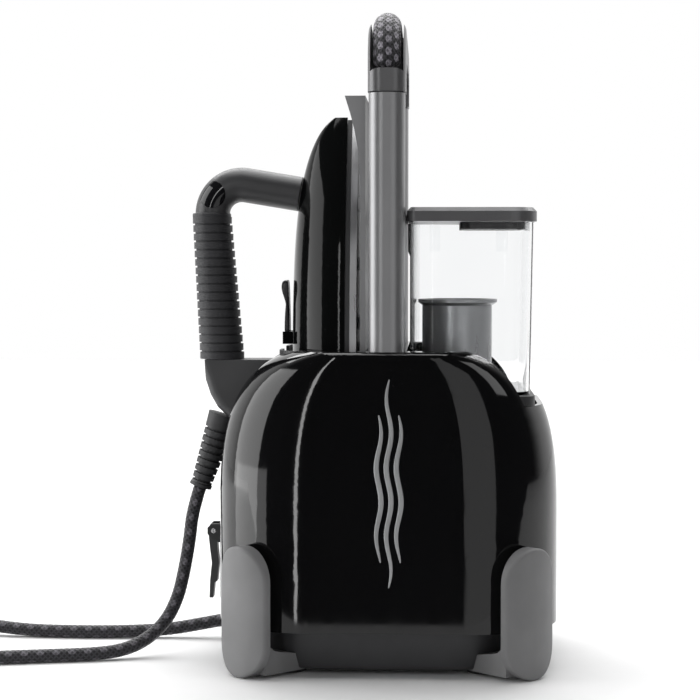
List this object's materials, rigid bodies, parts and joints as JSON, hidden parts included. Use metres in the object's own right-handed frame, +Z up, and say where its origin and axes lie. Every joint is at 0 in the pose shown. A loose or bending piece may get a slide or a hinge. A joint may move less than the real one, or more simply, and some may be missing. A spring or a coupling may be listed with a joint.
{
  "type": "compact steam generator iron",
  "caption": "Compact steam generator iron docked nose up on its carrying station, with an arched handle, lift-off water tank, bumper feet and a braided steam hose.",
  "frame": {"origin": "centre of the footprint on the floor, measured without the steam hose", "axes": "+Z up, -Y towards the front that faces the user, +X towards the water tank"},
  "size_m": [0.502, 0.199, 0.4102],
  "materials": {
    "gloss_black": "glossy black moulding",
    "satin_black": "satin dark moulding",
    "matte_black": "fine matte black moulding",
    "gunmetal": "satin gunmetal",
    "plate_grey": "satin grey moulding",
    "foot_grey": "soft grey moulding",
    "dark_rubber": "ribbed soft rubber",
    "braid": "dark braid with pale flecks",
    "clear_tank": "smoked clear plastic",
    "window": "glossy dark lens",
    "cup_grey": "smoked grey moulding",
    "steel": "brushed steel",
    "boiler_steel": "spun steel",
    "cast_alloy": "cast alloy",
    "shield_grey": "heat resistant moulding",
    "works": "moulded housing",
    "board": "lacquered circuit board",
    "silicone": "milky silicone tube",
    "rocker": "glossy rocker"
  },
  "bodies": {
    "station": {"body_shell": "gloss_black", "base_pan": "matte_black", "foot_front_left": "foot_grey", "foot_front_right": "foot_grey", "foot_rear_left": "foot_grey", "foot_rear_right": "foot_grey", "sole_pads": "dark_rubber", "front_post": "gunmetal", "rear_post": "gunmetal", "arch_top": "satin_black", "grip_roll": "braid", "iron_well": "matte_black", "iron_rest_plate": "plate_grey", "rest_pads": "dark_rubber", "tank_seat": "matte_black", "boiler": "boiler_steel", "heating_saddle": "cast_alloy", "safety_valve": "steel", "drain_neck": "boiler_steel", "feed_pump": "works", "solenoid_valve": "works", "control_board": "board", "feed_pipe": "silicone", "pump_pipe": "silicone", "steam_pipe": "steel", "outlet_pipe": "silicone", "switch_bezel": "matte_black", "mains_gland": "matte_black", "hose_gland": "matte_black", "cord_clip_bracket": "matte_black", "cord_clip_pin": "steel", "hose_to_iron": "braid", "hose_to_station": "braid", "hose_coil": "braid"},
    "iron": {"soleplate": "steel", "heat_shield": "shield_grey", "iron_shell": "gloss_black", "handle_arm": "satin_black", "elbow_window": "window", "grip_sleeve": "dark_rubber", "iron_heel": "matte_black", "hose_relief": "dark_rubber", "iron_heater": "cast_alloy", "iron_steam_valve": "steel"},
    "steam_lever": {"steam_trigger": "matte_black"},
    "tank": {"water_tank": "clear_tank", "filter_cup": "cup_grey", "outlet_valve": "cup_grey", "tank_catch": "satin_black", "lid_hinge_ear_left": "matte_black", "lid_hinge_ear_right": "matte_black", "lid_pin": "steel"},
    "lid": {"tank_lid": "satin_black", "lid_plug": "matte_black"},
    "clip_lever": {"cord_clip_lever": "matte_black"},
    "switch": {"power_rocker": "rocker"},
    "cap": {"rinse_cap": "matte_black"}
  },
  "joints": [
    {"name": "iron_lift", "type": "slide", "parent": "station", "child": "iron", "axis": [0, 0, 1], "range_m": [0, 0.09]},
    {"name": "steam_lever_press", "type": "hinge", "parent": "iron", "child": "steam_lever", "pos_m": [-0.05449, 0, 0.206], "axis": [0, 1, 0], "range_deg": [0, 4], "stiffness_Nm_per_rad": 0.4, "springref_deg": -2.86},
    {"name": "tank_lift", "type": "slide", "parent": "station", "child": "tank", "axis": [0, 0, 1], "range_m": [0, 0.11]},
    {"name": "lid_hinge", "type": "hinge", "parent": "tank", "child": "lid", "pos_m": [0.06421, 0.0695, 0.283], "axis": [-1, 0, 0], "range_deg": [0, 90]},
    {"name": "cord_clip_hinge", "type": "hinge", "parent": "station", "child": "clip_lever", "pos_m": [-0.10309, 0, 0.0795], "axis": [0, 1, 0], "range_deg": [0, 12], "stiffness_Nm_per_rad": 0.2, "springref_deg": -5.73},
    {"name": "power_switch", "type": "hinge", "parent": "station", "child": "switch", "pos_m": [0.00571, 0.0885, 0.076], "axis": [1, 0, 0], "range_deg": [0, 8]},
    {"name": "cap_turn", "type": "hinge", "parent": "station", "child": "cap", "pos_m": [0.05371, 0.092, 0.074], "axis": [0, 1, 0], "continuous": true}
  ]
}
